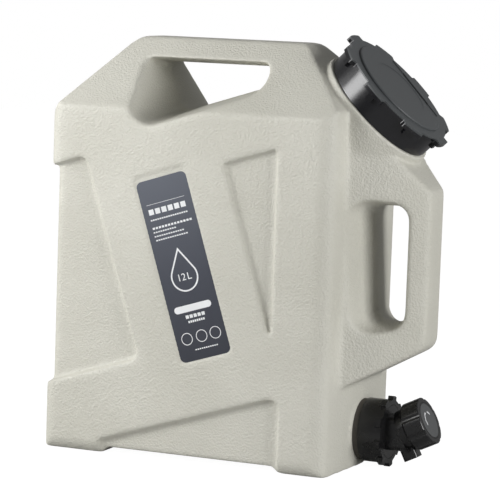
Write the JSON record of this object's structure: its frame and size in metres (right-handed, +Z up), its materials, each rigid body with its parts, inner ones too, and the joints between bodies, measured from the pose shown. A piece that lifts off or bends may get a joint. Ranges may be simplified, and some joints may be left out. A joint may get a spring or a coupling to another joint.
{
  "type": "water container",
  "caption": "Blow-moulded water container with top and side handles, a tilted neck under a wide screw cap, and a turn tap held by a screw collar.",
  "frame": {"origin": "on the floor, at the middle of the whole object's length and depth", "axes": "+X towards the tap, +Z up, -Y the labelled front"},
  "size_m": [0.3246, 0.16, 0.3499],
  "materials": {
    "body_plastic": "fine pebble grain, beige grey",
    "label_film": "smooth dark slate print",
    "black_plastic": "smooth black",
    "disc_plastic": "satin dark grey",
    "barrel_plastic": "smooth grey",
    "seal_rubber": "soft black",
    "gasket_rubber": "soft dark grey"
  },
  "bodies": {
    "container": {"container": "body_plastic", "label": "label_film", "tap_gasket": "gasket_rubber"},
    "cap_ring": {"cap_seal": "seal_rubber"},
    "cap": {"cap_shell": "black_plastic"},
    "tap": {"tap_body": "black_plastic", "tap_seal": "seal_rubber"},
    "collar": {"tap_collar": "black_plastic"},
    "valve": {"valve_barrel": "barrel_plastic", "barrel_ring_front": "seal_rubber", "barrel_ring_rear": "seal_rubber", "knob": "black_plastic", "knob_disc": "disc_plastic"}
  },
  "joints": [
    {"name": "cap_travel", "type": "slide", "parent": "container", "child": "cap_ring", "axis": [0.7169, 0, 0.6972], "range_m": [0, 0.006]},
    {"name": "cap_turn", "type": "hinge", "parent": "cap_ring", "child": "cap", "pos_m": [0.09516, 0, 0.28823], "axis": [0.7169, 0, 0.6972], "range_deg": [0, 540]},
    {"name": "tap_travel", "type": "slide", "parent": "container", "child": "tap", "axis": [1, 0, 0], "range_m": [0, 0.0045]},
    {"name": "collar_turn", "type": "hinge", "parent": "tap", "child": "collar", "pos_m": [0.10687, 0, 0.03], "axis": [1, 0, 0], "range_deg": [0, 540]},
    {"name": "knob_turn", "type": "hinge", "parent": "tap", "child": "valve", "pos_m": [0.12827, 0, 0.03], "axis": [0.8957, 0, 0.4446], "range_deg": [0, 90]}
  ],
  "couplings": [
    {"joint": "cap_travel", "follows": "cap_turn", "m_per_rad": 0.0006366},
    {"joint": "tap_travel", "follows": "collar_turn", "m_per_rad": 0.00047745}
  ]
}
